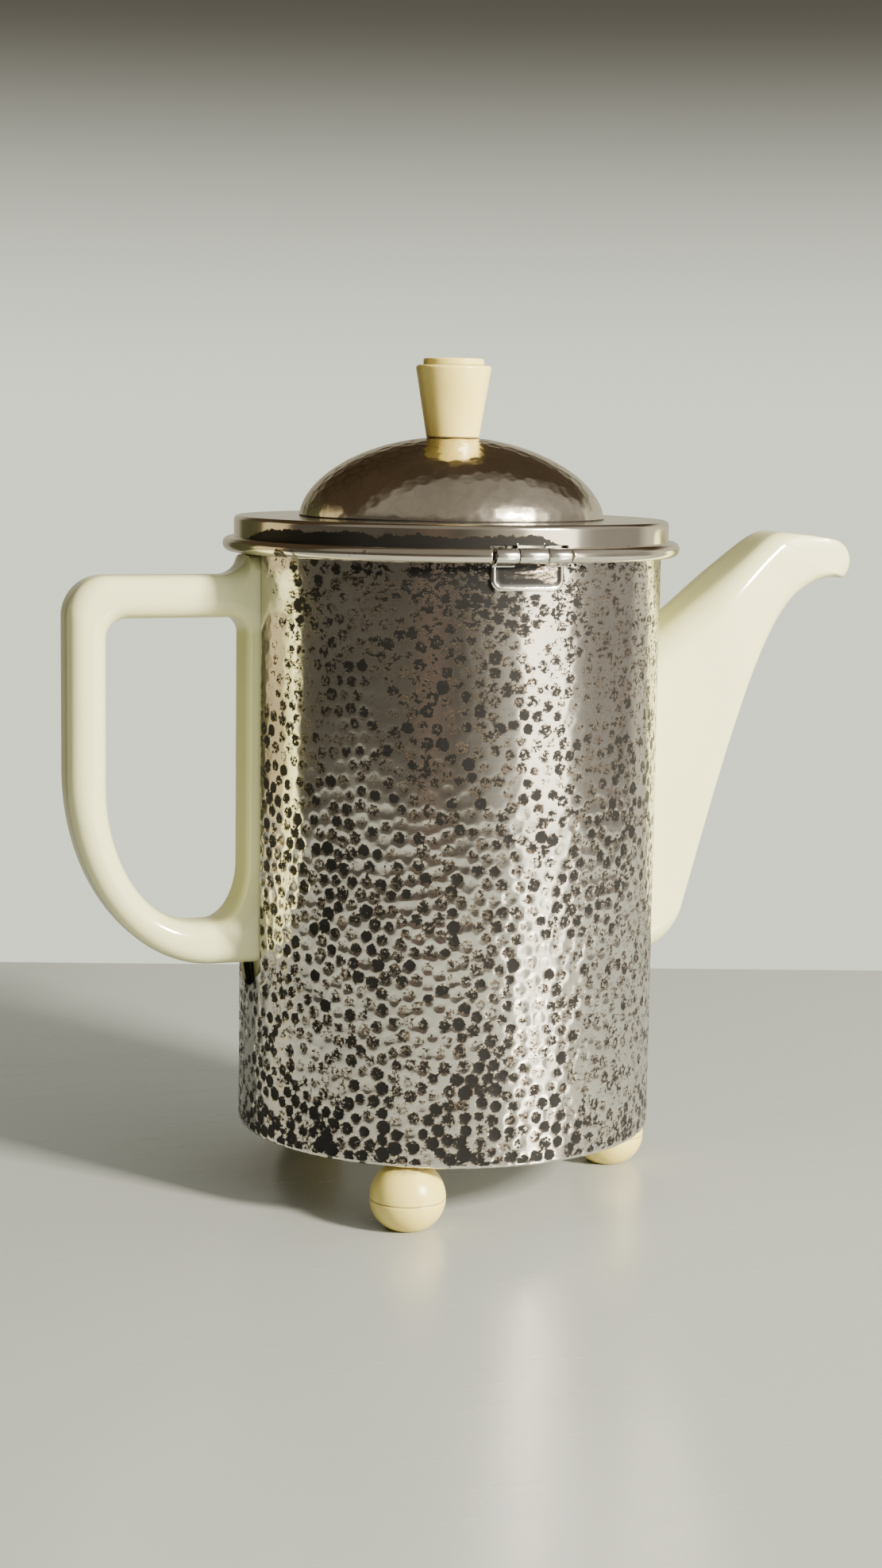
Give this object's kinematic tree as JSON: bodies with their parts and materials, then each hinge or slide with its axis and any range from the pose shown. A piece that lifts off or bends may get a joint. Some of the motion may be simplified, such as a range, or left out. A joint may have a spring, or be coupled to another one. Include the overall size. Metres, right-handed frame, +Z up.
{
  "type": "insulated coffee pot",
  "caption": "Porcelain coffee pot with a handle and a tall spout, in a hammered silver-plated insulating jacket with ball feet and a hinged lid.",
  "frame": {"origin": "at the height of the table that the feet stand on, midway between the ends of the handle and the spout along X and in the pot's middle plane, so 5.6 mm from the jacket's axis towards the spout", "axes": "+Z up, +X towards the spout, -X towards the handle, -Y towards the lid's hinge"},
  "size_m": [0.2075, 0.114, 0.2083],
  "materials": {
    "hammered_silver": "satin",
    "dome_silver": "satin",
    "lid_silver": "polished",
    "polished_silver": "polished",
    "porcelain": "gloss",
    "ivory_plastic": "gloss",
    "felt": "matte",
    "brass": "satin",
    "steel": "satin"
  },
  "bodies": {
    "jacket": {"jacket_wall": "hammered_silver", "handle_slot_edging": "polished_silver", "spout_slot_edging": "polished_silver", "jacket_floor": "polished_silver", "felt_wall": "felt", "felt_floor": "felt", "foot_front": "ivory_plastic", "foot_spout": "ivory_plastic", "foot_back": "ivory_plastic", "foot_screws": "brass", "foot_washers": "steel", "hinge_plate": "polished_silver", "hinge_pin": "steel", "pot_body": "porcelain", "pot_handle": "porcelain", "pot_spout": "porcelain"},
    "lid": {"lid_collar": "lid_silver", "lid_bead": "polished_silver", "lid_dome": "dome_silver", "lid_felt": "felt", "lid_knob": "ivory_plastic", "knob_cap": "ivory_plastic", "knob_screw": "brass", "knob_washer": "steel", "hinge_lid_leaf": "polished_silver"}
  },
  "joints": [
    {"name": "lid_hinge", "type": "hinge", "parent": "jacket", "child": "lid", "pos_m": [-0.0056, -0.0552, 0.162], "axis": [1, 0, 0], "range_deg": [0, 105]}
  ]
}
